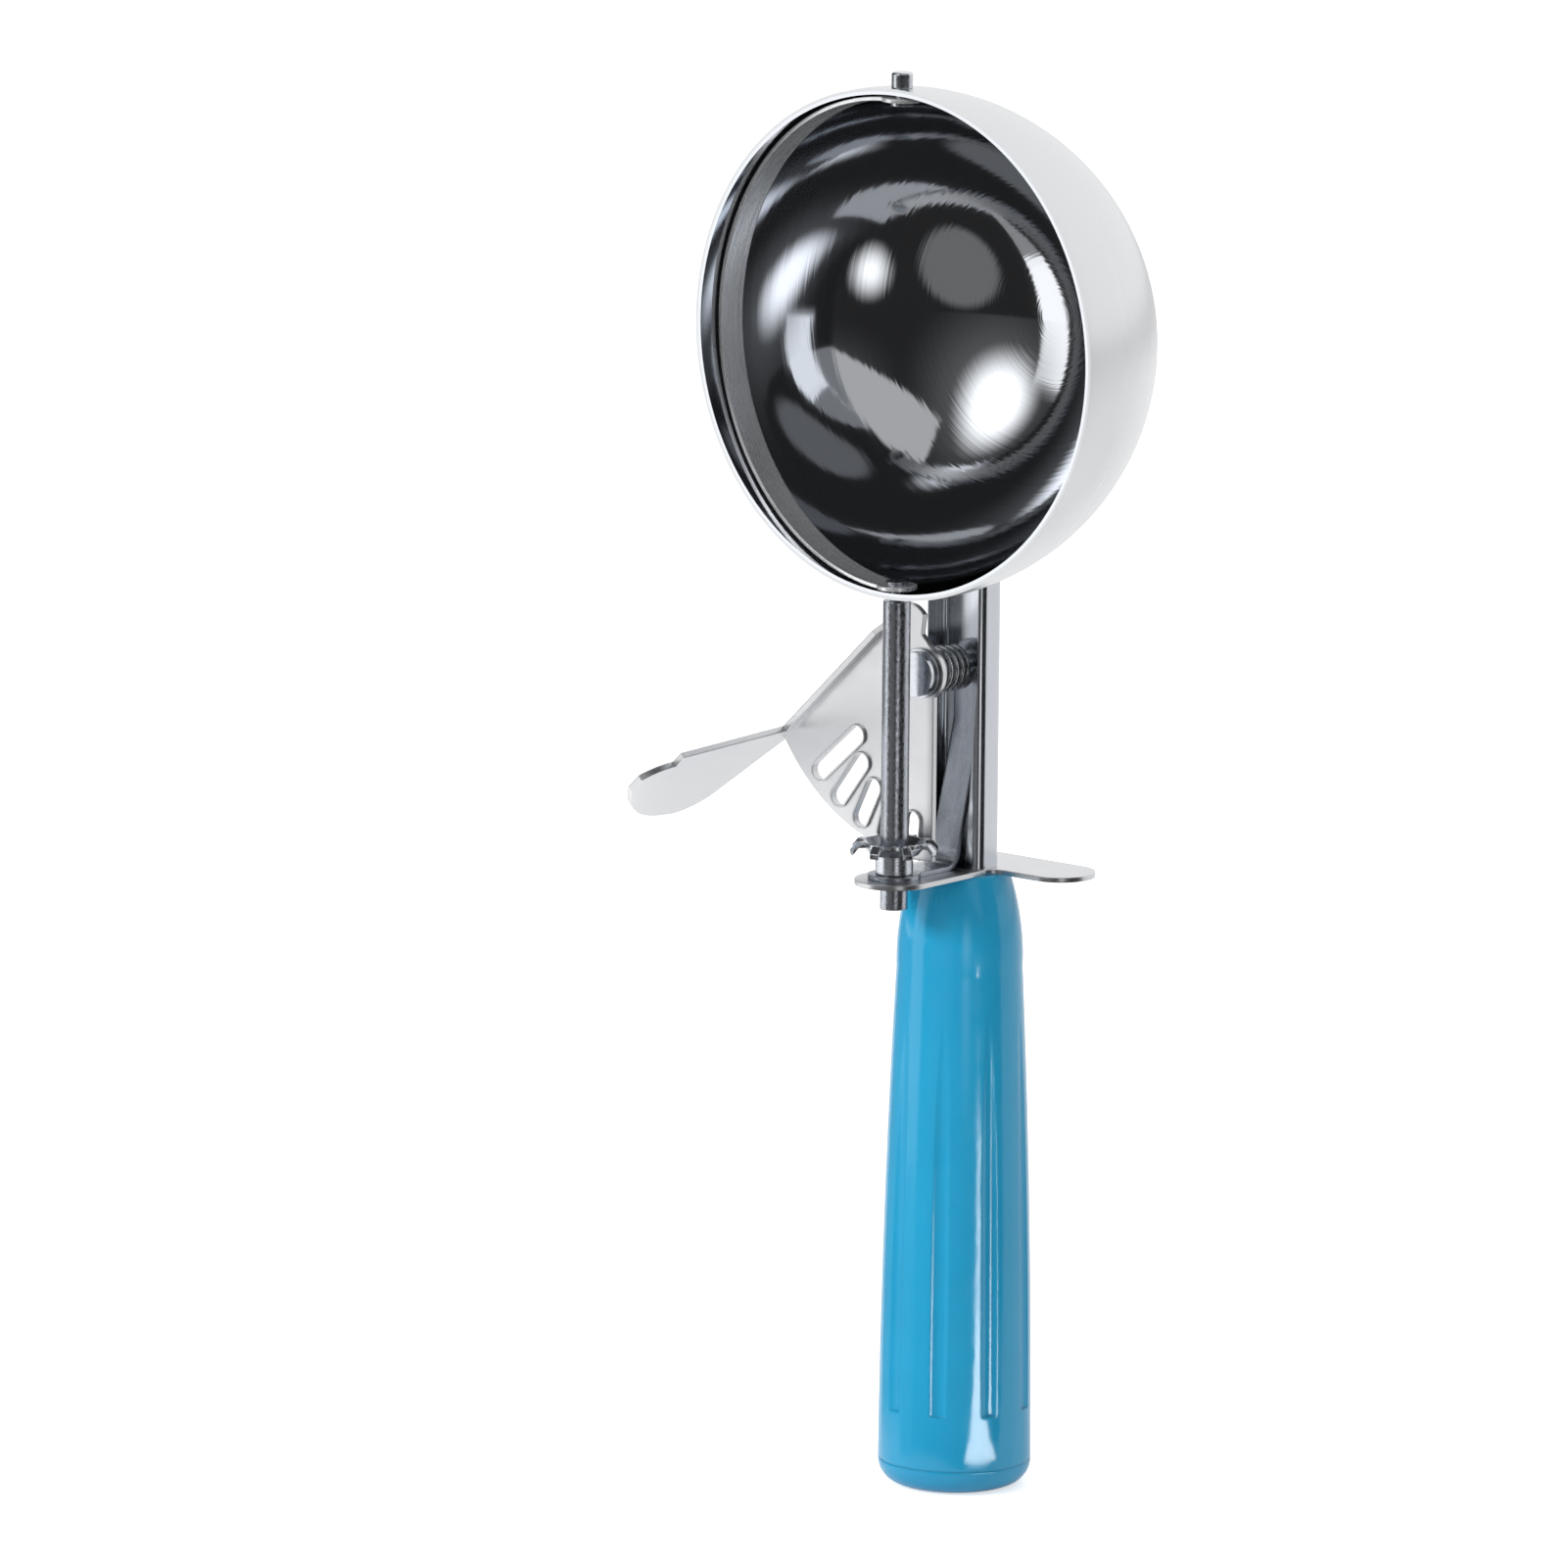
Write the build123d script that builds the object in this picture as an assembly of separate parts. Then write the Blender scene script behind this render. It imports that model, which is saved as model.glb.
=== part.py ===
from build123d import *
import os
from math import cos, pi, radians, sin, sqrt

# Thumb-lever ice cream scoop. Millimetres, +Z up along the handle, the bowl's mouth facing -Y.
# The origin is the centre of the handle's flat butt.

# Fits and cuts
overrun = 1.0
running_gap = 0.06
end_play = 0.1

# Sheet gauges
shank_sheet = 0.9
plate_sheet = 0.8
lever_sheet = 1.0
scraper_sheet = 0.6

# Bowl and scraper
bowl_radius = 40.5
bowl_wall = 1.0
bowl_rim_lead = 2.2
bowl_bottom_z = 145.8
scraper_gap = 0.4
scraper_width = 4.7
scraper_eye_radius = 3.2
scraper_rest_angle = 6.0

# Drive rod, its journals and the scraper's top pin
rod_offset = 16.5
rod_radius = 2.2
rod_end_z = 96.0
rod_shoulder_gap = 0.4
journal_radius = 1.1
peen_radius = 1.8
peen_height = 0.7
pin_head_radius = 1.7
pin_head_height = 2.5
pin_head_edge = 0.4

# Star wheel and its collar
wheel_z = 106.5
wheel_teeth = 8
wheel_tip_radius = 7.15
wheel_root_radius = 5.0
wheel_rim_radius = 6.2
wheel_hub_radius = 3.9
wheel_sheet = 0.8
wheel_dish = 1.3
wheel_tip_drop = 1.1
tooth_width = 1.5
collar_radius = 3.0

# Thumb lever
lever_ratio = 4
lever_pivot_z = 133.0
fan_margin = 3.7
fan_tip_margin = 5.1
fan_right = 2.6
fan_edge_angle = 65.4
fan_first_slot_angle = 3.2
slot_margin = 2.5
slot_length = 13.0
slot_length_shares = (0.5, 0.56, 0.66, 0.81, 1.0)
slot_width = 3.0
slot_lip = 0.3
slot_lip_height = 0.4
hub_radius = 4.5
crown_rise = 11.0
crown_left = 5.9
crown_left_rise = 10.0
crown_right = 0.4
crown_right_rise = 9.3
crown_waist_rise = 6.2
shoulder_reach = 7.2
shoulder_rise = 7.6
fold_width = 2.4
tab_length = 17.7
tab_reach = 32.0
tab_neck = 2.0
tab_notch = 2.3
tab_notch_drop = 6.4
tab_notch_shares = (1.25, 0.5)
tab_outer_arc_shares = ((0.42, 1.0), (0.79, 0.815), (1.0, 0.48))
tab_inner_arc_shares = ((1.0, 0.48), (0.96, 0.316), (0.79, 0.214))

# Lever post
post_radius = 1.5
spacer_radius = 2.1
washer_radius = 4.0
washer_thickness = 0.5
rivet_head_radius = 3.6
rivet_head_height = 1.2
rivet_tail_radius = 2.5
rivet_tail_height = 1.0

# Return spring
wire_radius = 0.45
coil_radius = 3.3
coil_turns = 5
coil_pitch = 1.42
spring_gap = 0.3
leg_angle = 40.0
leg_length = 9.0
hook_length = 2.2
hook_bend_radius = 1.2
hook_hole_gap = 0.35

# Shank, tang and bracket
shank_width = 12.0
shank_depth = 5.5
shank_back_y = 2.8
shank_corner = 1.5
shank_foot_opening = 6.2
shank_opening_top_z = 131.0
saddle_width = 14.0
saddle_rise = 14.0
tang_width = 8.0
tang_end_z = 30.0
tang_corner = 1.2
bracket_width = 5.4
bracket_bend_radius = 2.4
bracket_eye_radius = 4.2
bracket_rise = 4.0
bracket_lean_z = 124.0
bracket_heel_y = -3.2

# Guard plate
plate_top_z = 100.8
neck_half_width = 6.3
wing_half_width = 21.0
wing_front_y = 0.4
wing_back_y = 11.8
wing_corner = 5.6
neck_corner = 2.4

# Handle and end cap
butt_radius = 12.25
cap_height = 4.1
cap_edge = 3.8
plug_radius = 6.0
plug_length = 9.0
grip_waist_drop = 15.8
grip_waist_radius = 10.1
grip_top_radius = 7.75
grip_shoulder_share = 0.42
grip_shoulder_bulge_share = 0.72
grip_swell = 0.4
grip_full_z = 9.0
tang_gap = 0.05
flute_count = 9
flute_radius = 2.2
flute_depth = 0.6
flute_start_z = 13.0
flute_end_drop = 2.8
flute_end_radius = 10.35
flute_phase = -63.2

# Places that follow from the sizes above
bowl_centre_z = bowl_bottom_z + bowl_radius
bowl_inner_radius = bowl_radius - bowl_wall
scraper_radius = bowl_inner_radius - scraper_gap
scraper_inner_radius = scraper_radius - scraper_sheet
peen_seat = sqrt(scraper_inner_radius**2 - peen_radius**2)
plate_bottom_z = plate_top_z - plate_sheet
bracket_foot_z = plate_top_z + plate_sheet
grip_waist_z = plate_bottom_z - grip_waist_drop
mesh_radius = lever_pivot_z - wheel_z
fan_radius = mesh_radius + fan_margin
slot_outer_radius = mesh_radius + slot_margin
wheel_pitch_radius = mesh_radius / lever_ratio
slot_pitch_angle = 360 / (wheel_teeth * lever_ratio)
fan_y = wheel_pitch_radius - rod_offset
fan_front_y = fan_y - lever_sheet / 2
fan_back_y = fan_y + lever_sheet / 2
web_front_y = shank_back_y - shank_sheet
bracket_front_y = web_front_y - plate_sheet
shank_front_y = shank_back_y - shank_depth
shank_mid_y = shank_back_y - shank_depth / 2
bowl_centre = (0, -rod_offset, bowl_centre_z)
lever_pivot = (0, 0, lever_pivot_z)


def rod_axis(z):
    """A place at height z on the axis of the drive rod."""
    return Pos(0, -rod_offset, z)


def disc(radius, bottom, top):
    """An upright cylinder on the local axis, between two heights."""
    return Pos(0, 0, (bottom + top) / 2) * Cylinder(radius, top - bottom)


def post_disc(radius, front, back):
    """A cylinder round the lever's pivot, between two places along Y."""
    turned = Pos(0, (front + back) / 2, 0) * Rot(90, 0, 0)
    return Pos(*lever_pivot) * turned * Cylinder(radius, back - front)


def make_bowl():
    ball = Sphere(bowl_radius) - Sphere(bowl_inner_radius)
    span = 2 * (bowl_radius + overrun)
    ball -= Pos(0, -bowl_rim_lead - span / 2, 0) * Box(span, span, span)
    ball -= disc(journal_radius, 0, bowl_radius + overrun)
    ball -= disc(journal_radius + running_gap, -bowl_radius - overrun, 0)
    return Pos(*bowl_centre) * ball


def make_scraper():
    shell = Sphere(scraper_radius) - Sphere(scraper_inner_radius)
    reach = scraper_radius + overrun
    band = Pos(-reach / 2, 0, 0) * Box(reach, scraper_width, 2 * reach)
    eyes = Cylinder(scraper_eye_radius, 2 * reach)
    blade = shell & (band + eyes)
    blade -= disc(journal_radius + running_gap, 0, reach)
    blade -= disc(journal_radius, -reach, 0)
    return Pos(*bowl_centre) * Rot(0, 0, -scraper_rest_angle) * blade


def make_pivot_pin():
    seat = sqrt(bowl_radius**2 - journal_radius**2)
    peen_top = peen_seat - end_play
    head = disc(pin_head_radius, seat, seat + pin_head_height)
    head = fillet(head.edges().group_by(Axis.Z)[-1], pin_head_edge)
    pin = disc(journal_radius, peen_top, seat) + head
    pin += disc(peen_radius, peen_top - peen_height, peen_top)
    return Pos(*bowl_centre) * pin


def make_drive_rod():
    shoulder = bowl_centre_z - bowl_radius - rod_shoulder_gap
    peen = bowl_centre_z - peen_seat
    rod = disc(rod_radius, rod_end_z, shoulder)
    rod += disc(journal_radius, shoulder, peen)
    rod += disc(peen_radius, peen, peen + peen_height)
    return rod_axis(0) * rod


def make_star_wheel():
    dish = (
        (rod_radius, -wheel_dish),
        (wheel_hub_radius, -wheel_dish),
        (wheel_root_radius, 0),
        (wheel_rim_radius, 0),
        (wheel_tip_radius, -wheel_tip_drop),
    )
    top = [(r, z + wheel_sheet / 2) for r, z in dish]
    bottom = [(r, z - wheel_sheet / 2) for r, z in reversed(dish)]
    wheel = revolve(Plane.XZ * make_face(Polyline(*top, *bottom, close=True)), Axis.Z)
    keep = Cylinder(wheel_root_radius, 2 * wheel_tip_radius)
    tooth = Pos(wheel_tip_radius / 2, 0, 0) * Box(wheel_tip_radius, tooth_width, 2 * wheel_tip_radius)
    tooth_at_rest = 90 + fan_first_slot_angle * lever_ratio
    for step in range(wheel_teeth):
        keep += Rot(0, 0, tooth_at_rest + step * 360 / wheel_teeth) * tooth
    return rod_axis(wheel_z) * (wheel & keep)


def make_wheel_collar():
    bottom = bracket_foot_z + end_play
    top = wheel_z - wheel_dish - wheel_sheet / 2
    ring = disc(collar_radius, bottom, top) - disc(rod_radius, bottom - overrun, top + overrun)
    return rod_axis(0) * ring


def make_shank():
    top = bowl_centre_z
    outer = RectangleRounded(shank_width, shank_depth, shank_corner)
    inner = RectangleRounded(
        shank_width - 2 * shank_sheet, shank_depth - 2 * shank_sheet, shank_corner - shank_sheet
    )
    tube = Pos(0, shank_mid_y, plate_top_z) * extrude(outer - inner, top - plate_top_z)

    # The front wall opens upwards, from a narrow gap at the foot to a plain channel
    half_foot = shank_foot_opening / 2
    half_top = shank_width / 2 - shank_sheet
    opening = make_face(
        Polyline(
            (-half_foot, plate_top_z - overrun),
            (half_foot, plate_top_z - overrun),
            (half_foot, plate_top_z),
            (half_top, shank_opening_top_z),
            (half_top, top + overrun),
            (-half_top, top + overrun),
            (-half_top, shank_opening_top_z),
            (-half_foot, plate_top_z),
            close=True,
        )
    )
    depth = shank_depth / 2 + overrun
    tube -= Pos(0, shank_mid_y, 0) * extrude(Plane.XZ * opening, depth)
    tube -= post_disc(post_radius, web_front_y - overrun, shank_back_y + overrun)

    # A saddle that follows the bowl's back joins the channel to it
    ball = Pos(*bowl_centre) * Sphere(bowl_radius)
    skin = Pos(*bowl_centre) * Sphere(bowl_radius + shank_sheet)
    saddle_depth = saddle_rise + shank_depth
    saddle_drop = bowl_radius + 2 * overrun
    saddle = skin & (
        Pos(0, shank_front_y + saddle_depth / 2, bowl_centre_z - saddle_drop / 2)
        * Box(saddle_width, saddle_depth, saddle_drop)
    )

    tang = RectangleRounded(tang_width, shank_depth, tang_corner)
    tang -= Pos(0, -shank_sheet) * Rectangle(tang_width - 2 * shank_sheet, shank_depth)
    tang = Pos(0, shank_mid_y, tang_end_z) * extrude(tang, plate_top_z - tang_end_z)
    return (tube + saddle - ball) + tang


def make_rod_bracket():
    top = lever_pivot_z + bracket_rise
    heel_front = bracket_heel_y - plate_sheet
    outer = bracket_bend_radius + plate_sheet
    middle = bracket_foot_z + bracket_bend_radius
    toe = bracket_heel_y - outer
    profile = Polyline((web_front_y, top), (web_front_y, bracket_lean_z), (bracket_heel_y, middle))
    profile += RadiusArc((bracket_heel_y, middle), (toe, plate_top_z), outer)
    profile += Polyline(
        (toe, plate_top_z), (-rod_offset, plate_top_z), (-rod_offset, bracket_foot_z), (toe, bracket_foot_z)
    )
    profile += RadiusArc((toe, bracket_foot_z), (heel_front, middle), -bracket_bend_radius)
    profile += Polyline(
        (heel_front, middle), (bracket_front_y, bracket_lean_z), (bracket_front_y, top), (web_front_y, top)
    )
    strip = extrude(Plane.YZ * make_face(profile), bracket_width / 2, both=True)
    corner = [e for e in strip.edges().filter_by(Axis.Y) if e.center().Z > top - overrun]
    strip = fillet(corner, bracket_width / 2 - running_gap)
    strip += rod_axis(0) * disc(bracket_eye_radius, plate_top_z, bracket_foot_z)
    strip -= post_disc(post_radius, bracket_front_y - overrun, web_front_y + overrun)
    return strip - rod_axis(0) * disc(rod_radius + running_gap, rod_end_z, wheel_z)


def make_guard_plate():
    wing_middle = (wing_front_y + wing_back_y) / 2
    wing_depth = wing_back_y - wing_front_y
    wings = Pos(0, wing_middle) * RectangleRounded(2 * wing_half_width, wing_depth, wing_corner)
    neck_length = rod_offset + wing_middle
    neck = Pos(0, wing_middle - neck_length / 2) * Rectangle(2 * neck_half_width, neck_length)
    lobe = Pos(0, -rod_offset) * Circle(neck_half_width)
    outline = wings + neck + lobe
    inner = [v for v in outline.vertices() if abs(v.X) < neck_half_width + running_gap]
    kinks = [v for v in inner if v.Y > -rod_offset / 2]
    sheet = extrude(fillet(kinks, neck_corner), plate_sheet)
    sheet -= Pos(0, -rod_offset, 0) * Cylinder(rod_radius + running_gap, 2 * plate_sheet + overrun)
    sheet -= Pos(0, shank_mid_y, 0) * extrude(
        RectangleRounded(tang_width + 2 * tang_gap, shank_depth + 2 * tang_gap, tang_corner),
        plate_sheet + overrun,
        both=True,
    )
    return Pos(0, 0, plate_bottom_z) * sheet


def fan_place(radius, angle):
    """A point of the fan, from its distance to the pivot and its angle from straight down."""
    return (-radius * sin(radians(angle)), -radius * cos(radians(angle)))


def hook_place():
    """Where the spring's front hook goes through the fan, measured from the pivot."""
    turn = radians(leg_angle)
    across = coil_radius * cos(turn) - leg_length * sin(turn)
    return (across, -coil_radius * sin(turn) - leg_length * cos(turn))


def make_thumb_lever():
    tip = fan_place(mesh_radius + fan_tip_margin, fan_edge_angle)
    shoulder = (-shoulder_reach, shoulder_rise)
    middle = fan_place(fan_radius, fan_edge_angle / 2)
    heel = (fan_right, -sqrt(fan_radius**2 - fan_right**2))
    hub_low = (fan_right, -sqrt(hub_radius**2 - fan_right**2))
    crown_start, crown_end = (-crown_left, crown_left_rise), (crown_right, crown_right_rise)
    outline = Line(hub_low, heel) + ThreePointArc(heel, middle, tip)
    outline += Polyline(tip, shoulder, crown_start)
    outline += ThreePointArc(crown_start, ((crown_right - crown_left) / 2, crown_rise), crown_end)
    hub_high = (hub_radius / 2, hub_radius * sqrt(3) / 2)
    outline += Polyline(crown_end, (0, crown_waist_rise), hub_high)
    outline += ThreePointArc(hub_high, (hub_radius, 0), hub_low)
    fan = extrude(make_face(outline), lever_sheet / 2, both=True)

    # Radial slots with a raised lip on the front, longer towards the upper edge
    front = lever_sheet / 2 + slot_lip_height
    for step, share in enumerate(slot_length_shares):
        angle = fan_first_slot_angle + step * slot_pitch_angle
        length = slot_length * share
        place = Pos(*fan_place(slot_outer_radius - length / 2, angle)) * Rot(0, 0, 90 - angle)
        fan += place * extrude(SlotOverall(length + 2 * slot_lip, slot_width + 2 * slot_lip), front)
        fan -= place * extrude(SlotOverall(length, slot_width), front + overrun, both=True)
    fan -= Cylinder(post_radius + running_gap, 4 * front)
    fan -= Pos(*hook_place()) * Cylinder(wire_radius + hook_hole_gap, 4 * front)

    # The upper edge is folded to the front and runs out into the thumb tab
    edge = Vector(tip[0] - shoulder[0], tip[1] - shoulder[1], 0)
    edge_length = edge.length
    across = edge.cross(Vector(0, 0, 1))
    fold_plane = Plane(origin=(*tip, -lever_sheet / 2), x_dir=edge, z_dir=across)
    fold = make_face(
        Polyline((-edge_length, 0), (-edge_length, fold_width / 2), (-edge_length + fold_width, fold_width),
                 (0, fold_width), (0, 0), close=True)
    )
    notch_out = tab_reach - tab_notch_drop
    notch_middle = (tab_notch * tab_notch_shares[0], tab_reach - tab_notch_drop * tab_notch_shares[1])
    outer_arc = [(tab_length * along, tab_reach * out) for along, out in tab_outer_arc_shares]
    inner_arc = [(tab_length * along, tab_reach * out) for along, out in tab_inner_arc_shares]
    tab = Polyline((-tab_neck, 0), (-tab_neck, fold_width), (0, notch_out), (tab_notch, notch_out))
    tab += ThreePointArc((tab_notch, notch_out), notch_middle, (2 * tab_notch, tab_reach))
    tab += Line((2 * tab_notch, tab_reach), outer_arc[0])
    tab += ThreePointArc(*outer_arc)
    tab += ThreePointArc(*inner_arc)
    tab += Polyline(inner_arc[-1], (0, 0), (-tab_neck, 0))
    flange = extrude(fold_plane * make_face(tab), -lever_sheet)
    flange += extrude(fold_plane * fold, -lever_sheet)
    lever = fan + flange
    return Pos(0, fan_y, lever_pivot_z) * Rot(90, 0, 0) * lever


def make_lever_spacer():
    front = fan_back_y + end_play
    tube = post_disc(spacer_radius, front, bracket_front_y)
    return tube - post_disc(post_radius, front - overrun, bracket_front_y + overrun)


def make_lever_washer():
    back = fan_front_y - end_play
    front = back - washer_thickness
    return post_disc(washer_radius, front, back) - post_disc(post_radius, front - overrun, back + overrun)


def make_lever_rivet():
    head_back = fan_front_y - end_play - washer_thickness
    rivet = post_disc(post_radius, head_back, shank_back_y)
    rivet += post_disc(rivet_head_radius, head_back - rivet_head_height, head_back)
    rivet += post_disc(rivet_tail_radius, shank_back_y, shank_back_y + rivet_tail_height)
    return rivet


def biarc(start, start_way, end, end_way):
    """Two arcs that leave the start along one direction and reach the end along another."""
    chord = end - start
    ways = start_way + end_way
    a = 2 * (start_way.dot(end_way) - 1)
    b = -2 * chord.dot(ways)
    c = chord.dot(chord)
    # Nearly equal directions leave only the linear part of the equation
    reach = -c / b if abs(a) < 1e-9 else (-b - sqrt(b * b - 4 * a * c)) / (2 * a)
    if reach < 0:
        reach = (-b + sqrt(b * b - 4 * a * c)) / (2 * a)
    first = start + start_way * reach
    last = end - end_way * reach
    joint = (first + last) / 2
    return [
        Edge.make_tangent_arc(start, start_way, joint),
        Edge.make_tangent_arc(joint, (last - first).normalized(), end),
    ]


def coil_point(turn):
    """A point on the spring's coil, counted in turns from its front end."""
    angle = 2 * pi * turn
    return Vector(coil_radius * cos(angle), turn * coil_pitch, coil_radius * sin(angle))


def coil_way(turn):
    """The coil's direction there, level at both ends where the legs leave it."""
    angle = 2 * pi * turn
    rise = coil_pitch if 0 < turn < coil_turns else 0
    return Vector(-2 * pi * coil_radius * sin(angle), rise, 2 * pi * coil_radius * cos(angle)).normalized()


def make_return_spring():
    first, last = coil_point(0), coil_point(coil_turns)
    hook_corner = first - coil_way(0) * leg_length
    hook_end = hook_corner - Vector(0, hook_length, 0)
    edges = list(FilletPolyline(hook_end, hook_corner, first, radius=hook_bend_radius).edges())
    steps = [quarter / 4 for quarter in range(4 * coil_turns + 1)]
    for begin, finish in zip(steps, steps[1:]):
        edges += biarc(coil_point(begin), coil_way(begin), coil_point(finish), coil_way(finish))

    # The back leg leaves the coil towards the channel's right flange
    flange_x = shank_width / 2 - shank_sheet - wire_radius - spring_gap
    back_leg = (flange_x - coil_radius * cos(radians(leg_angle))) / sin(radians(leg_angle))
    edges.append(Edge.make_line(last, last + coil_way(coil_turns) * back_leg))
    path = Wire(edges)
    section = Plane(origin=path @ 0, z_dir=path % 0) * Circle(wire_radius)
    wire = sweep(section, path)

    # The least gap from wire to wire, on points half a turn or more apart
    count = 60 * coil_turns
    points = [path @ (step / count) for step in range(count + 1)]
    apart = int(count * pi * coil_radius / path.length)
    gap = min((p - q).length for i, p in enumerate(points) for q in points[i + apart:]) - 2 * wire_radius
    volume_share = wire.volume / (pi * wire_radius**2 * path.length)
    print(f"spring: least gap to itself {gap:.3f} mm, share of section times length {volume_share:.4f}")
    return Pos(0, fan_back_y + wire_radius + spring_gap, lever_pivot_z) * Rot(0, leg_angle, 0) * wire


def make_handle():
    top = plate_bottom_z
    waist = (grip_waist_radius, grip_waist_z)
    full = (butt_radius, grip_full_z)
    shoulder_mid = (
        grip_top_radius + grip_shoulder_bulge_share * (grip_waist_radius - grip_top_radius),
        grip_waist_z + (1 - grip_shoulder_share) * (top - grip_waist_z),
    )
    swell_mid = ((grip_waist_radius + butt_radius) / 2 + grip_swell, (grip_waist_z + grip_full_z) / 2)
    outline = Polyline((0, cap_height), (butt_radius, cap_height), full)
    outline += ThreePointArc(full, swell_mid, waist)
    outline += ThreePointArc(waist, shoulder_mid, (grip_top_radius, top))
    outline += Polyline((grip_top_radius, top), (0, top), (0, cap_height))
    grip = revolve(Plane.XZ * make_face(outline), Axis.Z)

    bore = RectangleRounded(tang_width + 2 * tang_gap, shank_depth + 2 * tang_gap, tang_corner)
    grip -= Pos(0, shank_mid_y, tang_end_z - overrun) * extrude(bore, top - tang_end_z + 2 * overrun)
    grip -= disc(plug_radius, cap_height - overrun, cap_height + plug_length + tang_gap)

    # Flutes: a slanted round cutter that runs out to a point near the top
    low = Vector(butt_radius - flute_depth + flute_radius, 0, flute_start_z)
    high = Vector(flute_end_radius + flute_radius, 0, grip_waist_z - flute_end_drop)
    way = high - low
    cutter = Plane(origin=low, z_dir=way) * extrude(Circle(flute_radius), way.length + flute_radius)
    for step in range(flute_count):
        grip -= Rot(0, 0, flute_phase + step * 360 / flute_count) * cutter
    return grip


def make_end_cap():
    cap = disc(butt_radius, 0, cap_height)
    cap = fillet(cap.edges().group_by(Axis.Z)[0], cap_edge)
    return cap + disc(plug_radius, cap_height, cap_height + plug_length)


parts = {
    "bowl": make_bowl,
    "scraper": make_scraper,
    "pivot_pin": make_pivot_pin,
    "drive_rod": make_drive_rod,
    "star_wheel": make_star_wheel,
    "wheel_collar": make_wheel_collar,
    "shank": make_shank,
    "rod_bracket": make_rod_bracket,
    "guard_plate": make_guard_plate,
    "thumb_lever": make_thumb_lever,
    "lever_rivet": make_lever_rivet,
    "lever_spacer": make_lever_spacer,
    "lever_washer": make_lever_washer,
    "return_spring": make_return_spring,
    "handle": make_handle,
    "end_cap": make_end_cap,
}

os.makedirs("parts", exist_ok=True)
for name, make in parts.items():
    export_step(make(), f"parts/{name}.step")
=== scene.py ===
# %% [markdown]
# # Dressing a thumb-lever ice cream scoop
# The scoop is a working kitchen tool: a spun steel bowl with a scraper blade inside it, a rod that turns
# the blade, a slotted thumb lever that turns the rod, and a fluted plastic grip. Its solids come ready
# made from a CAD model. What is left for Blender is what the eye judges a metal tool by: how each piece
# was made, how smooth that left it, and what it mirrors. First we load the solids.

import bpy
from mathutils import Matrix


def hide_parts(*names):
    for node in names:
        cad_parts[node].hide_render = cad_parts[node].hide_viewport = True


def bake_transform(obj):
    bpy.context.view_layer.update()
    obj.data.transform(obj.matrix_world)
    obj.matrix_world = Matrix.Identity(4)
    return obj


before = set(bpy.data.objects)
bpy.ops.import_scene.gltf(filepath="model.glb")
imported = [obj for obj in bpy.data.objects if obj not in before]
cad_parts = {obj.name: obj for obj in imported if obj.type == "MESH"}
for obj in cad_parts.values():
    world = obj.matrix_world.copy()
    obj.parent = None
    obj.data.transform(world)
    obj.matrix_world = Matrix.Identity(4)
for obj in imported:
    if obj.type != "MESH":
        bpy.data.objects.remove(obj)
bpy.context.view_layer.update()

# %% [markdown]
# ## Three small helpers
# Colours are written the way a paint chart gives them, as hex values, and Blender's shaders want linear
# light, so one function turns one into the other. A second adds a shader node with its settings and
# links, because a material is easier to read as a list of nodes than as a page of link calls. The third
# starts a material and hands back its tree and its main shader.

# %% Helpers for colours and shader nodes
import math
import bpy
import bmesh
from mathutils import Matrix, Vector

WHITE = "#FFFFFF"


def linear(hex_colour):
    channels = [int(hex_colour[i:i + 2], 16) / 255 for i in (1, 3, 5)]
    return [c / 12.92 if c <= 0.04045 else ((c + 0.055) / 1.055) ** 2.4 for c in channels] + [1.0]


def add_node(tree, kind, inputs, **settings):
    made = tree.nodes.new(kind)
    for name, value in settings.items():
        setattr(made, name, value)
    for socket, value in inputs.items():
        if isinstance(value, bpy.types.NodeSocket):
            tree.links.new(value, made.inputs[socket])
        else:
            made.inputs[socket].default_value = value
    return made


def start_finish(name):
    finish = bpy.data.materials.new(name)
    finish.use_nodes = True
    return finish, finish.node_tree, finish.node_tree.nodes["Principled BSDF"]


print("steel grey in linear light:", [round(c, 3) for c in linear("#D4D6D9")])

# %% [markdown]
# ## The camera
# The scoop was photographed from its right front, a little above the middle, with a long lens: the rim
# looks like an ellipse and the upright edges stay parallel. We place the camera on that line of sight,
# two metres away, and aim it beside the scoop, because the scoop stands right of the picture's middle.
# Aiming beside it keeps the lens centred, so every other view stays natural too.

# %% Camera on the photograph's line of sight
AZIMUTH, ELEVATION, ROLL = math.radians(39.8), math.radians(10.8), math.radians(-0.5)
SUBJECT = Vector((0.0, -0.008, 0.115))
CAMERA_DISTANCE = 2.0
FRAME_PIXELS, FOCAL_PIXELS = 1601, 12890
SUBJECT_PIXEL = (949.0, 797.7)
UP = Vector((0.0, 0.0, 1.0))


def direction(azimuth, elevation):
    flat = math.cos(elevation)
    return Vector((math.sin(azimuth) * flat, -math.cos(azimuth) * flat, math.sin(elevation)))


toward_camera = direction(AZIMUTH, ELEVATION)
sideways = Vector((math.cos(AZIMUTH), math.sin(AZIMUTH), 0.0))
upward = toward_camera.cross(sideways)
metres_per_pixel = CAMERA_DISTANCE / FOCAL_PIXELS
aim = (SUBJECT - sideways * (SUBJECT_PIXEL[0] - FRAME_PIXELS / 2) * metres_per_pixel
       + upward * (SUBJECT_PIXEL[1] - FRAME_PIXELS / 2) * metres_per_pixel)
camera_place = SUBJECT + toward_camera * CAMERA_DISTANCE

backward = (camera_place - aim).normalized()
rightward = UP.cross(backward).normalized()
pose = Matrix((rightward, backward.cross(rightward), backward)).transposed().to_4x4()

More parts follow.
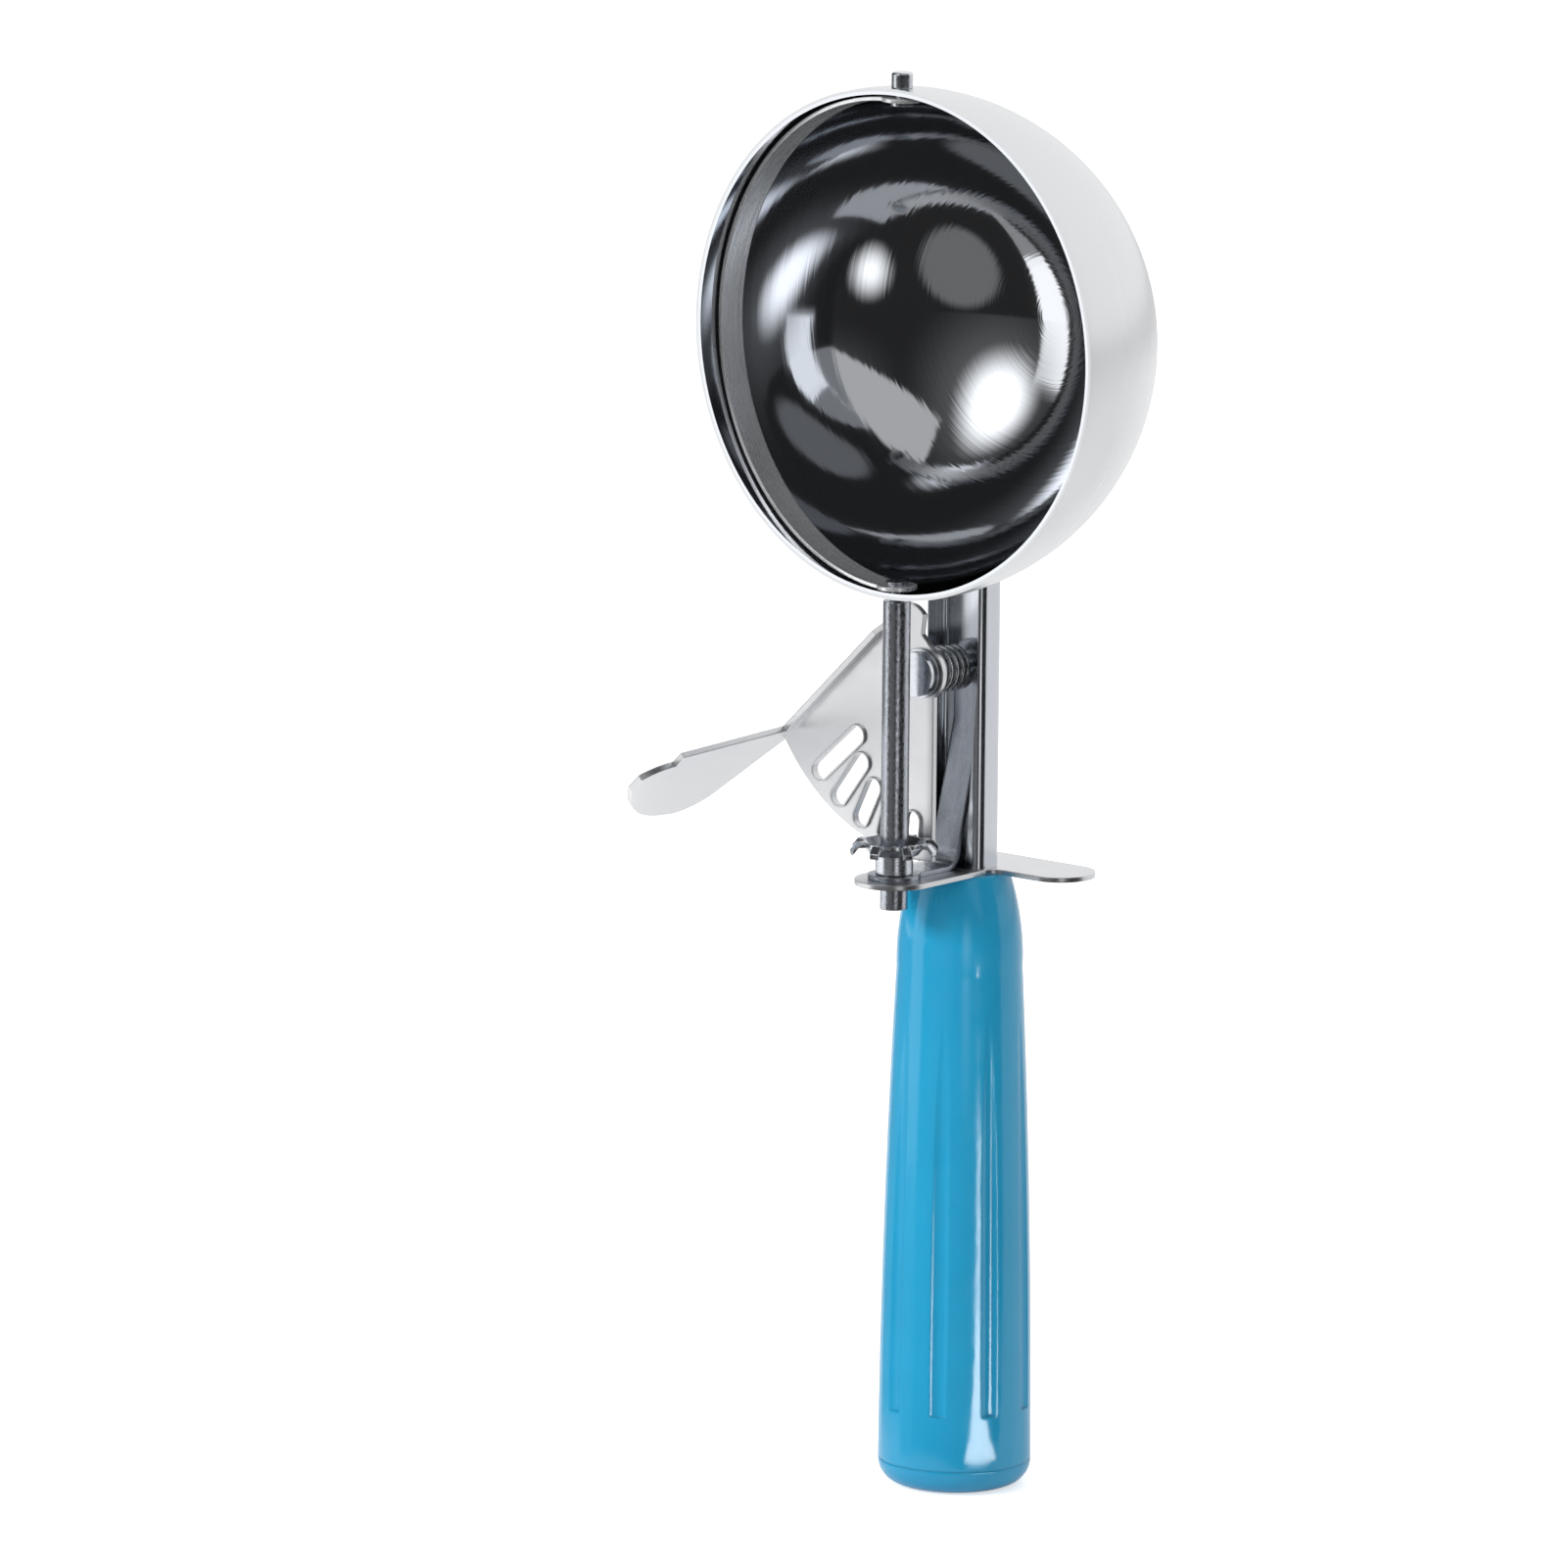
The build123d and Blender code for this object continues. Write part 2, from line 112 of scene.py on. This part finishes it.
lens = bpy.data.cameras.new("long_lens")
lens.sensor_width = 36.0
lens.lens = FOCAL_PIXELS / FRAME_PIXELS * lens.sensor_width
camera = bpy.data.objects.new("camera", lens)
camera.matrix_world = Matrix.Translation(camera_place) @ pose @ Matrix.Rotation(-ROLL, 4, "Z")
bpy.context.scene.collection.objects.link(camera)
bpy.context.scene.camera = camera
bpy.context.scene.view_settings.view_transform = "Standard"
print("camera lens", round(lens.lens, 1), "mm at", [round(c, 3) for c in camera_place])

# %% [markdown]
# ## A white room
# A catalogue picture of steel has a white room round it, which is what makes the outside of the bowl look
# almost white. The world is white wherever the camera or a mirror looks, and dimmer as a lamp, so that a
# colour shows about as it is written.

# %% White world
ROOM_AS_LAMP, ROOM_AS_SEEN = 0.52, 1.0

world = bpy.data.worlds.new("white_room")
bpy.context.scene.world = world
world.use_nodes = True
tree = world.node_tree
rays = add_node(tree, "ShaderNodeLightPath", {}).outputs
seen = add_node(tree, "ShaderNodeMath", {0: rays["Is Camera Ray"], 1: rays["Is Glossy Ray"]},
                operation="MAXIMUM")
seen = add_node(tree, "ShaderNodeMath", {0: seen.outputs[0], 1: rays["Is Transmission Ray"]},
                operation="MAXIMUM")
strength = add_node(tree, "ShaderNodeMapRange", {"Value": seen.outputs[0], "To Min": ROOM_AS_LAMP,
                                                 "To Max": ROOM_AS_SEEN})
room = tree.nodes["Background"]
room.inputs["Color"].default_value = linear(WHITE)
tree.links.new(strength.outputs[0], room.inputs["Strength"])
print("world lights at", ROOM_AS_LAMP, "and shows at", ROOM_AS_SEEN)

# %% [markdown]
# ## The floor
# The scoop stands on its butt on a plain white sheet of paper. Paper is matt and has no gloss at all. The
# sheet glows a little for the camera and for mirrors, so that it reads as white, and it still takes the
# soft shadow at the scoop's foot.

# %% White paper floor
FLOOR_HALF, FLOOR_LEVEL = 6.0, -0.0001
GLOW_SEEN, GLOW_MIRRORED = 0.62, 0.2

# Matt paper: an even white without any shine
paper, tree, shader = start_finish("white_paper_sheet")
shader.inputs["Base Color"].default_value = linear("#F4F4F4")
shader.inputs["Roughness"].default_value = 0.9
shader.inputs["Specular IOR Level"].default_value = 0.0
shader.inputs["Emission Color"].default_value = linear(WHITE)
rays = add_node(tree, "ShaderNodeLightPath", {}).outputs
mirrored = add_node(tree, "ShaderNodeMath", {0: rays["Is Glossy Ray"], 1: rays["Is Transmission Ray"]},
                    operation="MAXIMUM")
mirrored = add_node(tree, "ShaderNodeMath", {0: mirrored.outputs[0], 1: GLOW_MIRRORED},
                    operation="MULTIPLY")
glow = add_node(tree, "ShaderNodeMath", {0: rays["Is Camera Ray"], 1: GLOW_SEEN, 2: mirrored.outputs[0]},
                operation="MULTIPLY_ADD")
tree.links.new(glow.outputs[0], shader.inputs["Emission Strength"])

floor_mesh = bpy.data.meshes.new("floor")
corner_signs = ((-1, -1), (1, -1), (1, 1), (-1, 1))
floor_corners = [(x * FLOOR_HALF, y * FLOOR_HALF, FLOOR_LEVEL) for x, y in corner_signs]
floor_mesh.from_pydata(floor_corners, [], [(0, 1, 2, 3)])
floor_mesh.materials.append(paper)
floor = bpy.data.objects.new("floor", floor_mesh)
bpy.context.scene.collection.objects.link(floor)
print("floor laid at", FLOOR_LEVEL, "m")

# %% [markdown]
# ## Cards for the mirrors
# Polished steel shows what it faces. A photographer sets dark and bright cards round a shiny object until
# its shape can be read, and we do the same with cards that only mirrors can see: they cast no shadow and
# the camera looks straight through them. A card is a patch of a ball round the bowl, given in degrees
# across and up from the camera's side, or it lies flat and is given in degrees across and metres out. It
# glows at one level and its edge can fade, as a lamp's diffuser does. A small card for one piece can be
# clear to mirrors further off, so that the bowl doesn't show it.

# %% Glow of a card
HALF_CARD = 0.5


def glow_finish(name, level, edge, rounded, seen_within):
    finish, tree, shader = start_finish(name)
    where = add_node(tree, "ShaderNodeUVMap", {}, uv_map="card")
    centred = add_node(tree, "ShaderNodeVectorMath", {0: where.outputs[0], 1: (HALF_CARD, HALF_CARD, 0.0)},
                       operation="SUBTRACT")
    size = add_node(tree, "ShaderNodeVectorMath", {0: centred.outputs[0]}, operation="ABSOLUTE")
    if rounded:
        length = add_node(tree, "ShaderNodeVectorMath", {0: size.outputs[0]}, operation="LENGTH")
        reach = length.outputs["Value"]
    else:
        sides = add_node(tree, "ShaderNodeSeparateXYZ", {0: size.outputs[0]}).outputs
        larger = add_node(tree, "ShaderNodeMath", {0: sides[0], 1: sides[1]}, operation="MAXIMUM")
        reach = larger.outputs[0]
    lit = add_node(tree, "ShaderNodeMapRange",
                   {"Value": reach, "From Min": HALF_CARD, "From Max": HALF_CARD - edge},
                   interpolation_type="SMOOTHSTEP")
    if seen_within:
        # The ray's length is the way from the mirror to the card
        rays = add_node(tree, "ShaderNodeLightPath", {}).outputs
        close = add_node(tree, "ShaderNodeMath", {0: rays["Ray Length"], 1: seen_within},
                         operation="LESS_THAN")
        lit = add_node(tree, "ShaderNodeMath", {0: lit.outputs[0], 1: close.outputs[0]},
                       operation="MULTIPLY")
    glow = add_node(tree, "ShaderNodeEmission", {"Color": linear(WHITE), "Strength": level})
    clear = add_node(tree, "ShaderNodeBsdfTransparent", {})
    both = add_node(tree, "ShaderNodeMixShader",
                    {0: lit.outputs[0], 1: clear.outputs[0], 2: glow.outputs[0]})
    tree.links.new(both.outputs[0], tree.nodes["Material Output"].inputs["Surface"])
    tree.nodes.remove(shader)
    return finish


print("a card glows evenly and fades at its edge")

# %% [markdown]
# ### Shape of a card
# Each card is a fine grid, so that it curves evenly round the bowl, and its grid also tells the glow how
# far a point is from the card's edge.

# %% Helpers that hang a card
BOWL_CENTRE = Vector((0.0, -0.0165, 0.1863))
TABLE_AXIS = Vector((0.0, -0.0165, 0.0))
CARD_STEPS = 40


def hang_card(name, level, edge, corners, distance=0.0, height=0.0, rounded=False, seen_within=0.0):
    """Corners run round the card from low left. It lies flat where it has a height and no distance."""
    def place(across, second):
        heading = AZIMUTH + math.radians(across)
        if distance:
            return BOWL_CENTRE + direction(heading, math.radians(second)) * distance
        return TABLE_AXIS + direction(heading, 0.0) * second + UP * height

    grid = bmesh.new()
    shade = grid.loops.layers.uv.new("card")
    low_left, low_right, high_right, high_left = [Vector(corner) for corner in corners]
    rows = []
    for j in range(CARD_STEPS + 1):
        left = low_left.lerp(high_left, j / CARD_STEPS)
        right = low_right.lerp(high_right, j / CARD_STEPS)
        along = [left.lerp(right, i / CARD_STEPS) for i in range(CARD_STEPS + 1)]
        rows.append([grid.verts.new(place(*point)) for point in along])
    for j in range(CARD_STEPS):
        for i in range(CARD_STEPS):
            around = ((i, j), (i + 1, j), (i + 1, j + 1), (i, j + 1))
            face = grid.faces.new([rows[v][u] for u, v in around])
            for loop, (u, v) in zip(face.loops, around):
                loop[shade].uv = (u / CARD_STEPS, v / CARD_STEPS)
    mesh = bpy.data.meshes.new(name)
    grid.to_mesh(mesh)
    grid.free()
    mesh.materials.append(glow_finish(name + "_glow", level, edge, rounded, seen_within))
    card = bpy.data.objects.new(name, mesh)
    bpy.context.scene.collection.objects.link(card)
    card.visible_camera = card.visible_diffuse = False
    card.visible_shadow = card.visible_transmission = False
    print("card", name, "level", level)


def block(left, right, low, high):
    """Corners of an upright card in degrees, or of a flat one in degrees and metres."""
    return ((left, low), (right, low), (right, high), (left, high))


print("cards hang round", [round(c, 4) for c in BOWL_CENTRE])

# %% [markdown]
# ## The dark side of the room
# In front of the scoop the studio is dark: the camera's side of the room, the table that runs towards it,
# and the far left. That dark draws the bowl's inside and the rod. A gap is left in it about eighty degrees
# to the left, because the flat lever mirrors just that way and has to stay pale. The same gap is the bright
# crescent on the right of the bowl, and, mirrored twice, the soft patch on its left.

# %% Dark cards and dark table
DARK, GREY_TABLE = 0.022, 0.30
HARD_EDGE = 0.001
DARK_WALL = 1.7
WALL_FOOT, WALL_TOP = -6.4, 84
TABLE_NEAR, TABLE_FAR, TABLE_FILM = 0.02, 1.75, 0.0005
DARK_RIGHT, GAP_RIGHT, GAP_LEFT, DARK_LEFT = 80, -70, -97, -150
GAP_TABLE_START = 0.3

hang_card("dark_front", level=DARK, edge=HARD_EDGE, distance=DARK_WALL,
          corners=block(GAP_RIGHT, DARK_RIGHT, WALL_FOOT, WALL_TOP))
hang_card("dark_far_left", level=DARK, edge=HARD_EDGE, distance=DARK_WALL,
          corners=block(DARK_LEFT, GAP_LEFT, WALL_FOOT, WALL_TOP))
hang_card("dark_over_gap", level=DARK, edge=0.15, distance=DARK_WALL, corners=block(-104, -63, 11, 92))
hang_card("dark_table", level=DARK, edge=HARD_EDGE, height=TABLE_FILM,
          corners=block(GAP_RIGHT, DARK_RIGHT, TABLE_NEAR, TABLE_FAR))
hang_card("grey_table_gap", level=GREY_TABLE, edge=HARD_EDGE, height=TABLE_FILM,
          corners=block(GAP_LEFT, GAP_RIGHT, TABLE_NEAR, GAP_TABLE_START))
hang_card("grey_table_left", level=GREY_TABLE, edge=0.03, height=TABLE_FILM,
          corners=block(DARK_LEFT, GAP_LEFT, TABLE_NEAR, TABLE_FAR))

# %% [markdown]
# ## Lamps and screens
# The light patches in the bowl are the studio's lamps and screens, seen in a hollow mirror: a box on the
# left of the camera shows on the right of the bowl, and twice as far off as the steel is tilted. The gap
# in the dark has a lamp of its own, on the wall and on the table in front of it, and a small card under
# the lever keeps its face pale where it would mirror the dark below.

# %% Softbox cards
GAP_LEVEL = 1.3

hang_card("big_softbox_halo", level=0.16, edge=0.5, distance=1.6, corners=block(-100, 2, -24, 78),
          rounded=True)
hang_card("dim_wall_right", level=0.08, edge=0.5, distance=1.65, corners=block(-4, 76, -6, 60),
          rounded=True)
hang_card("big_softbox_left", level=1.9, edge=0.4, distance=1.5, corners=block(-81, -27, 3, 58),
          rounded=True)
hang_card("overhead_screen", level=0.5, edge=0.05, distance=1.5,
          corners=((46, 0), (-27, 44), (-27, 72), (42, 58)))
hang_card("low_screen_left", level=0.175, edge=0.12, distance=0.2, corners=block(-58, -8, -54, -8),
          rounded=True)
hang_card("low_lamp_right", level=1.5, edge=0.48, distance=0.22, corners=block(2, 30, -46, -10),
          rounded=True)
hang_card("gap_softbox", level=GAP_LEVEL, edge=0.12, distance=1.6, corners=block(-98, -69, -12, 18))
hang_card("gap_table", level=GAP_LEVEL, edge=0.05, height=0.001,
          corners=block(GAP_LEFT, GAP_RIGHT, GAP_TABLE_START, 2.0))
hang_card("lever_bounce", level=1.35, edge=0.1, height=0.088, seen_within=0.1,
          corners=block(-135, -62, 0.02, 0.11))

# %% [markdown]
# ## The lamps
# One lamp from the left shapes the plastic grip: it comes in low over the flutes, so that each has a lit
# side and a shaded side. A weaker one opens up the back. Both are kept out of the mirrors, because the
# cards already stand for the softboxes there. A third, a strip lying on the table, is the long highlight
# on the glossy grip. It shines on the grip and its cap alone, since steel would show it as a bare bar.

# %% Key lamp, back lamp and grip strip
LAMP_DISTANCE = 1.4
STRIP_WATTS, STRIP_HEADING = 0.4, AZIMUTH + math.radians(33.5)
STRIP_WIDTH, STRIP_LENGTH, STRIP_NEAR, STRIP_HEIGHT = 0.024, 0.40, 0.03, 0.001


def hang_lamp(name, watts, width, length, place, shines):
    lamp = bpy.data.lights.new(name, "AREA")
    lamp.shape, lamp.size, lamp.size_y, lamp.energy = "RECTANGLE", width, length, watts
    holder = bpy.data.objects.new(name, lamp)
    turn = (-shines).to_track_quat("Z", "Y").to_matrix().to_4x4()
    holder.matrix_world = Matrix.Translation(place) @ turn
    bpy.context.scene.collection.objects.link(holder)
    print("lamp", name, watts, "W")
    return holder


# Name, watts, size in metres, and degrees across and up from the camera's side
SOFTBOXES = (("key_softbox", 10.5, 0.36, -58, 26), ("back_softbox", 5.0, 0.9, 165, 35))
for name, watts, size, across, up in SOFTBOXES:
    way = direction(AZIMUTH + math.radians(across), math.radians(up))
    hang_lamp(name, watts, size, size, SUBJECT + way * LAMP_DISTANCE, -way).visible_glossy = False

strip_middle = direction(STRIP_HEADING, 0.0) * (STRIP_NEAR + STRIP_LENGTH / 2) + UP * STRIP_HEIGHT
grip_strip = hang_lamp("grip_strip", STRIP_WATTS, STRIP_WIDTH, STRIP_LENGTH, strip_middle, UP)
grip_strip.rotation_euler = (math.pi, 0.0, STRIP_HEADING)
grip_strip.visible_camera = grip_strip.visible_diffuse = False
lit_by_strip = bpy.data.collections.new("lit_by_strip")
for name in ("handle", "end_cap"):
    lit_by_strip.objects.link(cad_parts[name])
grip_strip.light_linking.receiver_collection = lit_by_strip

# %% [markdown]
# ## Spun steel for the bowl
# The bowl is stainless sheet spun over a former. Its inside is polished to a dark mirror, and its outside
# is left satin. Spinning leaves rings round the bowl's axis, faint and uneven. We find how far a point is
# from that axis, feed it to a one-dimensional noise, and let the rings shift roughness and height slightly.
# The inside and the outside part at the middle of the wall. A mirror shows every flat facet of a mesh, so
# on the wall the shader takes the sphere's own normal instead, straight out from the bowl's centre.

# %% Helpers for steel
def steel_base(name, colour, roughness):
    finish, tree, shader = start_finish(name)
    shader.inputs["Base Color"].default_value = linear(colour)
    shader.inputs["Metallic"].default_value = 1.0
    shader.inputs["Roughness"].default_value = roughness
    place = add_node(tree, "ShaderNodeTexCoord", {})
    return finish, tree, shader, place.outputs["Object"]


def dress(finish, *names):
    for name in names:
        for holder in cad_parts[name].material_slots:
            holder.material = finish
    print(finish.name, "on", ", ".join(names))


print("steel starts fully metallic, at the default IOR")

# %% Bowl: where a point lies, and its rings
MM_PER_METRE = 1000.0
BOWL_WALL_MIDDLE = 0.0400
# Real tool marks are about 0.2 mm apart, too fine to show, so they are drawn at 0.6 mm
RING_SPACING, RING_DEPTH = 0.0006, 0.0002
INSIDE_TONE, OUTSIDE_TONE = "#DCDFE4", "#E0E2E4"

# Spun and polished stainless: a near black mirror inside, a pale soft sheen outside, faint rings on both
spun, tree, shader, place = steel_base("stainless_steel_spun_and_polished", OUTSIDE_TONE, 0.1)
from_centre = add_node(tree, "ShaderNodeVectorMath", {0: place, 1: BOWL_CENTRE}, operation="SUBTRACT")
reach = add_node(tree, "ShaderNodeVectorMath", {0: from_centre.outputs[0]}, operation="LENGTH")
outside = add_node(tree, "ShaderNodeMath", {0: reach.outputs["Value"], 1: BOWL_WALL_MIDDLE},
                   operation="GREATER_THAN")
flat = add_node(tree, "ShaderNodeVectorMath", {0: from_centre.outputs[0], 1: (1, 0, 1)},
                operation="MULTIPLY")
ring = add_node(tree, "ShaderNodeVectorMath", {0: flat.outputs[0]}, operation="LENGTH")
rings = add_node(tree, "ShaderNodeTexNoise", {"W": ring.outputs["Value"], "Scale": 1 / RING_SPACING,
                                              "Detail": 3.0}, noise_dimensions="1D")
print("rings every", RING_SPACING * MM_PER_METRE, "mm")

# %% Bowl: polish, tone and a true round wall
INSIDE_ROUGH, OUTSIDE_ROUGH = (0.03, 0.08), (0.24, 0.34)
WALL_MATCH, RING_STRENGTH = 0.9, 0.04

inside_rough = add_node(tree, "ShaderNodeMapRange", {"Value": rings.outputs[0], "To Min": INSIDE_ROUGH[0],
                                                     "To Max": INSIDE_ROUGH[1]})
outside_rough = add_node(tree, "ShaderNodeMapRange", {"Value": rings.outputs[0], "To Min": OUTSIDE_ROUGH[0],
                                                      "To Max": OUTSIDE_ROUGH[1]})
rough = add_node(tree, "ShaderNodeMix", {0: outside.outputs[0], 2: inside_rough.outputs[0],
                                         3: outside_rough.outputs[0]})
tree.links.new(rough.outputs[0], shader.inputs["Roughness"])
tone = add_node(tree, "ShaderNodeMix",
                {0: outside.outputs[0], 6: linear(INSIDE_TONE), 7: linear(OUTSIDE_TONE)}, data_type="RGBA")
tree.links.new(tone.outputs[2], shader.inputs["Base Color"])
facet = add_node(tree, "ShaderNodeNewGeometry", {})
radial = add_node(tree, "ShaderNodeVectorMath", {0: from_centre.outputs[0]}, operation="NORMALIZE")
side = add_node(tree, "ShaderNodeMapRange", {"Value": outside.outputs[0], "To Min": -1.0, "To Max": 1.0})
sphere = add_node(tree, "ShaderNodeVectorMath", {0: radial.outputs[0], "Scale": side.outputs[0]},
                  operation="SCALE")
match = add_node(tree, "ShaderNodeVectorMath", {0: facet.outputs["True Normal"], 1: sphere.outputs[0]},
                 operation="DOT_PRODUCT")
on_wall = add_node(tree, "ShaderNodeMath", {0: match.outputs["Value"], 1: WALL_MATCH},
                   operation="GREATER_THAN")
smooth = add_node(tree, "ShaderNodeMix", {0: on_wall.outputs[0], 4: facet.outputs["Normal"],
                                          5: sphere.outputs[0]}, data_type="VECTOR")
marks = add_node(tree, "ShaderNodeBump", {"Height": rings.outputs[0], "Strength": RING_STRENGTH,
                                          "Distance": RING_DEPTH, "Normal": smooth.outputs[1]})
tree.links.new(marks.outputs[0], shader.inputs["Normal"])
dress(spun, "bowl")

# %% [markdown]
# ## Strip, bar and wire
# The scraper is thin rolled strip, bright on its edges. The rod and its pin are bar, ground or drawn. The
# spring is drawn wire. One recipe serves all: a noise stretched along the way the metal was worked. Real
# grain is finer than a pixel of the picture, so it is drawn coarser, in the millimetres given below. No
# cut edge stays sharp after tumbling, so the shader rounds each one slightly, and the edge catches a thin
# line of light.

# %% Worked steel
EDGE_RADIUS, GRAIN_DEPTH = 0.00025, 0.0001
GRAIN_LOW, GRAIN_HIGH = 0.3, 0.7


def grain_of(*sizes_mm):
    return [MM_PER_METRE / size for size in sizes_mm]


def worked_steel(name, colour, rough_range, stretch, strength, edge=EDGE_RADIUS):
    finish, tree, shader, place = steel_base(name, colour, rough_range[0])
    drawn = add_node(tree, "ShaderNodeVectorMath", {0: place, 1: stretch}, operation="MULTIPLY")
    grain = add_node(tree, "ShaderNodeTexNoise", {"Vector": drawn.outputs[0], "Scale": 1.0, "Detail": 3.0})
    rough = add_node(tree, "ShaderNodeMapRange",
                     {"Value": grain.outputs[0], "From Min": GRAIN_LOW, "From Max": GRAIN_HIGH,
                      "To Min": rough_range[0], "To Max": rough_range[1]})
    tree.links.new(rough.outputs[0], shader.inputs["Roughness"])
    worn_edge = add_node(tree, "ShaderNodeBevel", {"Radius": edge}, samples=6)
    marks = add_node(tree, "ShaderNodeBump", {"Height": grain.outputs[0], "Strength": strength,
                                              "Distance": GRAIN_DEPTH, "Normal": worn_edge.outputs[0]})
    tree.links.new(marks.outputs[0], shader.inputs["Normal"])
    return finish


print("cut edges shade as if round by", EDGE_RADIUS * MM_PER_METRE, "mm")

# %% Finishes of strip, bar and wire
# Cold rolled strip: a grey band with long faint streaks along the blade
strip = worked_steel("stainless_strip_cold_rolled", "#F0F1F2", (0.22, 0.36),
                     grain_of(25, 1 / 3, 25), strength=0.06)
# The ground face scatters part of its light as frosting does, so it isn't all mirror
strip.node_tree.nodes["Principled BSDF"].inputs["Metallic"].default_value = 0.75
# Ground bar: one soft bright line down the side
bar = worked_steel("stainless_bar_ground_and_polished", "#DADEE4", (0.22, 0.34),
                   grain_of(2.5, 2.5, 1 / 3), strength=0.12)
# Drawn and oiled bar: a speckled grey, darker than the bright pieces beside it
rod_bar = worked_steel("steel_bar_drawn_and_oiled", "#BBBFC7", (0.2, 0.38),
                       grain_of(1 / 3, 1 / 3, 5 / 6), strength=0.25)
# Drawn wire: a small glint on each turn of the coil
wire = worked_steel("spring_wire_drawn", "#B9BCC0", (0.18, 0.3), grain_of(0.5, 0.5, 0.5), strength=0.1)
dress(strip, "scraper")
dress(bar, "pivot_pin", "wheel_collar")
dress(rod_bar, "drive_rod")

# %% [markdown]
# ## The spring
# A torsion spring is held at both ends: its hook goes round with the lever, and its back leg leans on the
# shank. A rigid spring would tear out of the lever as that is pressed. Here a copy of the solid stands in
# for it, in drawn wire, and the solid itself is hidden.

# %% Spring between the shank and the lever
spring = bpy.data.objects.new("wound_spring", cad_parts["return_spring"].data.copy())
spring.data.materials.clear()
spring.data.materials.append(wire)
bpy.context.scene.collection.objects.link(spring)
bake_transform(spring)
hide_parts("return_spring")

# %% [markdown]
# ## Pressed sheet
# The shank, the guard plate, the lever and the star wheel are cut and bent from sheet and then tumbled or
# polished. The same recipe serves them, with wider and softer grain, and the bent strip that carries the
# rod has rounder edges.

# %% Pressed sheet finishes
STRIP_EDGE_RADIUS = 0.0005

# Pressed and polished sheet: clear long streaks up the channel
sheet_up = worked_steel("steel_sheet_pressed_and_polished", "#D2D6DC", (0.14, 0.26),
                        grain_of(5 / 6, 5 / 6, 12.5), strength=0.02)
# Tumbled sheet: an even pale satin that mirrors nothing clearly
satin = worked_steel("steel_sheet_tumbled_satin", "#DADBDD", (0.30, 0.34),
                     grain_of(10 / 3, 10 / 3, 10 / 3), strength=0.003)
# Stamped sheet: bright, with small glints on the curled teeth
stamped = worked_steel("steel_sheet_stamped_bright", "#D4D8DE", (0.14, 0.26),
                       grain_of(1, 1, 1), strength=0.12)
# Bent and oiled strip: a dull dark grey with a soft light along its rounded edges
bent_strip = worked_steel("steel_strip_bent_and_oiled", "#A5AAB3", (0.22, 0.34),
                          grain_of(2 / 3, 2 / 3, 10), strength=0.1, edge=STRIP_EDGE_RADIUS)
dress(sheet_up, "shank")
dress(bent_strip, "rod_bracket")
dress(satin, "thumb_lever", "guard_plate")
dress(stamped, "star_wheel", "lever_rivet", "lever_washer", "lever_spacer")

# %% [markdown]
# ## Moulded plastic
# The grip and its cap are blue polypropylene, each injection moulded: a glossy skin, a colour that drifts
# slightly where the melt flowed, a slight waviness from shrinkage, and fine rubbing marks from use.
# A mould's edges are round, which softens the flutes and lets the seam of the cap show as a thin line. The
# cap was moulded apart, so it is a shade deeper and less rubbed.

# %% Grip and cap finish
MOULD_RADIUS, WAVE_DEPTH, WAVE_STRENGTH = 0.0007, 0.0008, 0.1
FLOW_MARK_MM = 50 / 3
# Real rubbing marks are too fine to show, so they are drawn 4 mm apart
RUB_MARK_MM = 4.0
RUB_LOW, RUB_HIGH = 0.35, 0.7
PLASTIC_IOR = 1.49


def moulded_plastic(name, pale, deep, rough_range):
    finish, tree, shader = start_finish(name)
    shader.inputs["IOR"].default_value = PLASTIC_IOR
    place = add_node(tree, "ShaderNodeTexCoord", {}).outputs["Object"]
    flow = add_node(tree, "ShaderNodeTexNoise", {"Vector": place, "Scale": MM_PER_METRE / FLOW_MARK_MM,
                                                 "Detail": 3.0})
    tint = add_node(tree, "ShaderNodeMix", {0: flow.outputs[0], 6: linear(pale), 7: linear(deep)},
                    data_type="RGBA")
    tree.links.new(tint.outputs[2], shader.inputs["Base Color"])
    rubbed = add_node(tree, "ShaderNodeTexNoise", {"Vector": place, "Scale": MM_PER_METRE / RUB_MARK_MM,
                                                   "Detail": 4.0})
    rough = add_node(tree, "ShaderNodeMapRange",
                     {"Value": rubbed.outputs[0], "From Min": RUB_LOW, "From Max": RUB_HIGH,
                      "To Min": rough_range[0], "To Max": rough_range[1]})
    tree.links.new(rough.outputs[0], shader.inputs["Roughness"])
    soft_edge = add_node(tree, "ShaderNodeBevel", {"Radius": MOULD_RADIUS}, samples=8)
    waves = add_node(tree, "ShaderNodeBump", {"Height": flow.outputs[0], "Strength": WAVE_STRENGTH,
                                              "Distance": WAVE_DEPTH, "Normal": soft_edge.outputs[0]})
    tree.links.new(waves.outputs[0], shader.inputs["Normal"])
    return finish


# Glossy moulding: a deep even blue under a clear skin, with one long highlight
dress(moulded_plastic("polypropylene_moulded_glossy_blue", "#2EACDA", "#229CCA", (0.1, 0.18)), "handle")
# The cap's skin is less rubbed, so its highlight is sharper
dress(moulded_plastic("polypropylene_moulded_cap_blue", "#2CA9D7", "#209AC8", (0.08, 0.14)), "end_cap")

# %% [markdown]
# ## The end
# The last cell prints that the scene is dressed.

# %% Finish
print("scene dressed")
